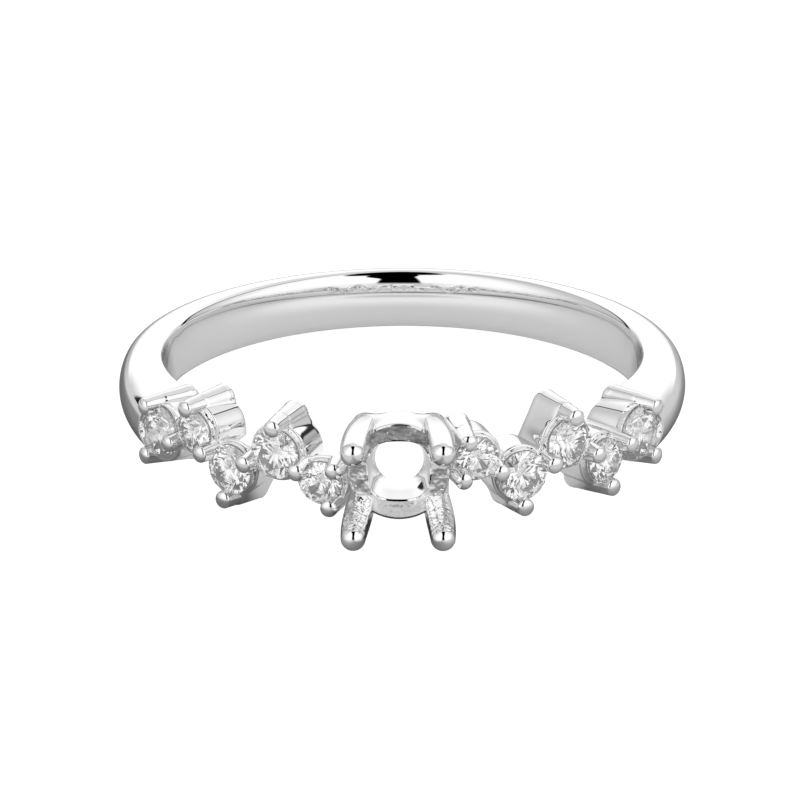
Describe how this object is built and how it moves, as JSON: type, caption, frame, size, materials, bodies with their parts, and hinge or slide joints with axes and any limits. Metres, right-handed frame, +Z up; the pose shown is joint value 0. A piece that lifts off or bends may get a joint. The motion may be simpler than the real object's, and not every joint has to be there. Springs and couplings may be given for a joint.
{
  "type": "diamond engagement ring",
  "caption": "Slim white-metal engagement ring, a semi-mount with an empty four-prong centre head and small round diamonds in zigzag settings on both shoulders.",
  "frame": {"origin": "on the floor under the middle of the ring's box as it lies on its side", "axes": "+Z up, leaning a few degrees from the finger's axis; -Y toward the centre head; +X to the right of it"},
  "size_m": [0.0196, 0.0224, 0.004],
  "materials": {
    "white_gold": "mirror polish",
    "diamond": "clear, faceted and polished"
  },
  "bodies": {
    "root": {"ring_mount": "white_gold", "left_diamond_1": "diamond", "left_diamond_2": "diamond", "left_diamond_3": "diamond", "left_diamond_4": "diamond", "left_diamond_5": "diamond", "right_diamond_1": "diamond", "right_diamond_2": "diamond", "right_diamond_3": "diamond", "right_diamond_4": "diamond", "right_diamond_5": "diamond"}
  },
  "joints": []
}
